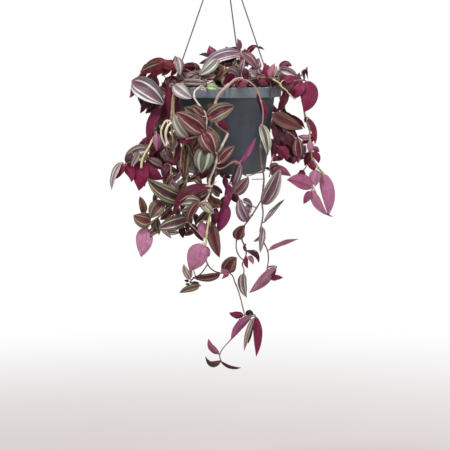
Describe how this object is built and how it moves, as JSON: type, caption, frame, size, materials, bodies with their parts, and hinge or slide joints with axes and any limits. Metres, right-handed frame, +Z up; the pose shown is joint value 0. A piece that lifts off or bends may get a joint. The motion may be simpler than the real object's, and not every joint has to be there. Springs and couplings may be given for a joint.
{
  "type": "potted tradescantia",
  "caption": "Trailing tradescantia with striped purple and green leaves in a dark plastic pot that hangs from a hook on thin legs.",
  "frame": {"origin": "where the inner face of the hook bears on whatever holds the pot up", "axes": "+Z up along the hanger, -Y towards the side where the longest shoots trail, +X to the right seen from that side"},
  "size_m": [0.3452, 0.2712, 0.6911],
  "materials": {
    "pot_plastic": "satin moulded slate-grey plastic",
    "hanger_plastic": "satin moulded grey plastic",
    "potting_mix": null,
    "foliage": null
  },
  "bodies": {
    "root": {"pot": "pot_plastic", "soil": "potting_mix", "hanger_hook": "hanger_plastic", "hanger_leg_left": "hanger_plastic", "hanger_leg_right": "hanger_plastic", "hanger_leg_rear": "hanger_plastic", "shoot_left_arch": "foliage", "shoot_left_long": "foliage", "shoot_left_front": "foliage", "shoot_front_maroon": "foliage", "shoot_front_cluster": "foliage", "shoot_front_trailer": "foliage", "shoot_right_short": "foliage", "shoot_right_trailer": "foliage", "shoot_right_inner": "foliage", "shoot_crest_centre": "foliage", "shoot_crest_left": "foliage", "shoot_crest_right": "foliage", "shoot_left_inner": "foliage", "shoot_centre_inner": "foliage", "shoot_side_left_2": "foliage", "shoot_side_right_2": "foliage", "shoot_lowest_trailer": "foliage", "shoot_rear_1": "foliage", "shoot_rear_2": "foliage", "shoot_rear_3": "foliage", "shoot_rear_4": "foliage", "shoot_rear_5": "foliage", "shoot_rear_6": "foliage", "shoot_side_right": "foliage", "shoot_side_left": "foliage"}
  },
  "joints": []
}
